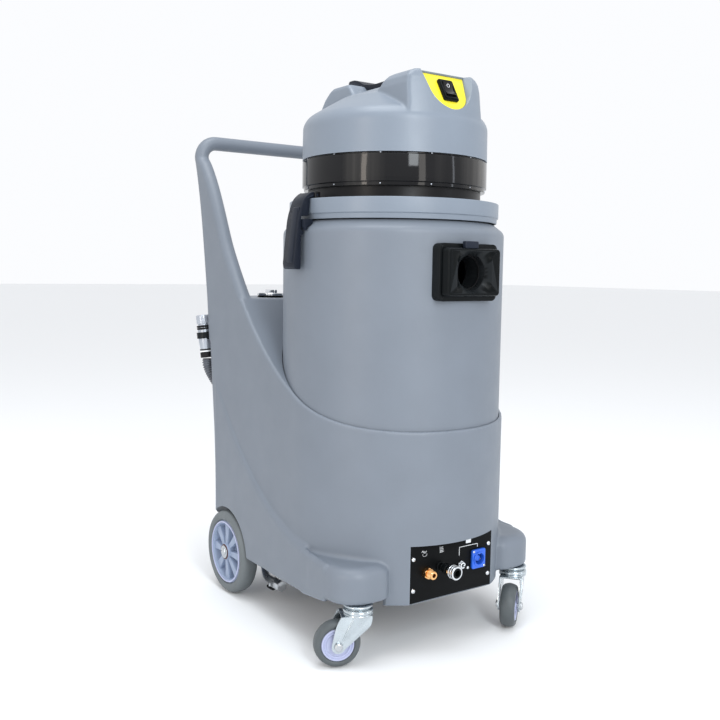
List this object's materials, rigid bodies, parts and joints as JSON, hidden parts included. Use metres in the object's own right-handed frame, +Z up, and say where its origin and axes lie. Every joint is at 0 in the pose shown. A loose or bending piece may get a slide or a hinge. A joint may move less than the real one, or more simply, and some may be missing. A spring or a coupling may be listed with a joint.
{
  "type": "carpet cleaner machine",
  "caption": "Upright carpet extractor: round recovery tank in a moulded wheeled chassis, lift-off motor head, latches, hose inlet, casters and a push handle.",
  "frame": {"origin": "on the floor, under the middle of the whole machine", "axes": "+Z up, the front with the connector panel faces -Y, and +X is to the right seen from behind the push handle"},
  "size_m": [0.4462, 0.6214, 0.949],
  "materials": {
    "moulded_grey": "fine moulded grain",
    "black_plastic": "satin",
    "gloss_black": "gloss",
    "yellow_panel": "semi gloss",
    "latch_black": "satin",
    "grey_tyre": "matt",
    "hose_rubber": "matt ribbed",
    "hub_grey_blue": "satin",
    "caster_hub": "satin",
    "bright_zinc": "bright zinc plating",
    "steel": "satin",
    "chrome": "bright",
    "brass": "machined",
    "inlet_blue": "semi gloss",
    "natural_plastic": "milky",
    "seal_rubber": "matt"
  },
  "bodies": {
    "chassis": {"chassis_shell": "moulded_grey", "push_handle": "moulded_grey", "recovery_tank": "moulded_grey", "solution_tank": "natural_plastic", "rear_axle": "steel", "axle_cap_left": "steel", "axle_cap_right": "steel", "caster_mount_left": "bright_zinc", "caster_mount_right": "bright_zinc", "connector_panel": "black_plastic", "panel_screw_1": "chrome", "panel_screw_2": "chrome", "panel_screw_3": "chrome", "panel_screw_4": "chrome", "brass_outlet": "brass", "coupler_body": "black_plastic", "power_inlet": "inlet_blue", "toggle_bush": "chrome", "hose_inlet_plate": "black_plastic", "hose_inlet_socket": "black_plastic", "drain_elbow": "black_plastic", "drain_hose": "hose_rubber", "drain_cuff": "steel", "hose_clip": "black_plastic", "drain_valve_body": "steel", "solution_pump": "black_plastic", "latch_catch_left": "latch_black", "latch_catch_right": "latch_black"},
    "head": {"head_base": "moulded_grey", "tank_gasket": "seal_rubber", "cooling_ring": "gloss_black", "motor_cover": "moulded_grey", "switch_panel": "yellow_panel", "switch_frame": "black_plastic", "carry_handle": "latch_black", "vacuum_motor": "steel", "float_cage": "black_plastic"},
    "rocker": {"rocker_switch": "gloss_black"},
    "float": {"float_ball": "natural_plastic"},
    "fan": {"motor_fan": "steel"},
    "latch_left": {"latch_left": "latch_black"},
    "latch_right": {"latch_right": "latch_black"},
    "rear_wheel_left": {"rear_tyre_left": "grey_tyre", "rear_hub_left": "hub_grey_blue"},
    "rear_wheel_right": {"rear_tyre_right": "grey_tyre", "rear_hub_right": "hub_grey_blue"},
    "swivel_left": {"caster_fork_left": "bright_zinc", "caster_axle_left": "steel"},
    "swivel_right": {"caster_fork_right": "bright_zinc", "caster_axle_right": "steel"},
    "caster_wheel_left": {"caster_hub_left": "caster_hub", "caster_tyre_left": "grey_tyre"},
    "caster_wheel_right": {"caster_hub_right": "caster_hub", "caster_tyre_right": "grey_tyre"},
    "filler_lid": {"filler_cap": "steel"},
    "plug": {"drain_plug": "steel"},
    "valve_lever": {"drain_valve_lever": "black_plastic"},
    "collar": {"coupler_collar": "chrome"},
    "toggle": {"toggle_lever": "chrome"},
    "release_button": {"hose_release_button": "latch_black"}
  },
  "joints": [
    {"name": "head_lift", "type": "slide", "parent": "chassis", "child": "head", "axis": [0, 0, 1], "range_m": [0, 0.25]},
    {"name": "rocker_tilt", "type": "hinge", "parent": "head", "child": "rocker", "pos_m": [0.01065, -0.22737, 0.9041], "axis": [1, 0, 0], "range_deg": [-7, 7]},
    {"name": "float_rise", "type": "slide", "parent": "head", "child": "float", "axis": [0, 0, 1], "range_m": [0, 0.045]},
    {"name": "fan_spin", "type": "hinge", "parent": "head", "child": "fan", "pos_m": [0.01065, -0.09037, 0.768], "axis": [0, 0, 1], "continuous": true},
    {"name": "latch_left_swing", "type": "hinge", "parent": "head", "child": "latch_left", "pos_m": [-0.16035, -0.09037, 0.738], "axis": [0, 1, 0], "range_deg": [0, 100]},
    {"name": "latch_right_swing", "type": "hinge", "parent": "head", "child": "latch_right", "pos_m": [0.18165, -0.09037, 0.738], "axis": [0, -1, 0], "range_deg": [0, 100]},
    {"name": "rear_wheel_left_roll", "type": "hinge", "parent": "chassis", "child": "rear_wheel_left", "pos_m": [-0.17675, 0.15763, 0.0788], "axis": [1, 0, 0], "continuous": true},
    {"name": "caster_left_swivel", "type": "hinge", "parent": "chassis", "child": "swivel_left", "pos_m": [-0.15735, -0.23897, 0.09], "axis": [0, 0, 1], "continuous": true},
    {"name": "caster_left_roll", "type": "hinge", "parent": "swivel_left", "child": "caster_wheel_left", "pos_m": [-0.18726, -0.22502, 0.0375], "axis": [-0.4226, -0.9063, 0], "continuous": true},
    {"name": "rear_wheel_right_roll", "type": "hinge", "parent": "chassis", "child": "rear_wheel_right", "pos_m": [0.19805, 0.15763, 0.0788], "axis": [1, 0, 0], "continuous": true},
    {"name": "caster_right_swivel", "type": "hinge", "parent": "chassis", "child": "swivel_right", "pos_m": [0.17865, -0.23897, 0.09], "axis": [0, 0, 1], "continuous": true},
    {"name": "caster_right_roll", "type": "hinge", "parent": "swivel_right", "child": "caster_wheel_right", "pos_m": [0.15265, -0.25929, 0.0375], "axis": [0.6157, -0.788, 0], "continuous": true},
    {"name": "filler_lift", "type": "slide", "parent": "chassis", "child": "filler_lid", "axis": [0, 0, 1], "range_m": [0, 0.03]},
    {"name": "plug_pull", "type": "slide", "parent": "chassis", "child": "plug", "axis": [-0.0694, 0.0959, 0.993], "range_m": [0, 0.03]},
    {"name": "valve_turn", "type": "hinge", "parent": "chassis", "child": "valve_lever", "pos_m": [-0.14135, 0.06863, 0.026], "axis": [0, 0, 1], "range_deg": [0, 90]},
    {"name": "collar_slide", "type": "slide", "parent": "chassis", "child": "collar", "axis": [0, 1, 0], "range_m": [0, 0.005], "stiffness_N_per_m": 300},
    {"name": "toggle_tilt", "type": "hinge", "parent": "chassis", "child": "toggle", "pos_m": [0.02865, -0.26887, 0.1355], "axis": [1, 0, 0], "range_deg": [-11, 11]},
    {"name": "button_press", "type": "slide", "parent": "chassis", "child": "release_button", "axis": [0, 0, -1], "range_m": [0, 0.003], "stiffness_N_per_m": 300}
  ]
}
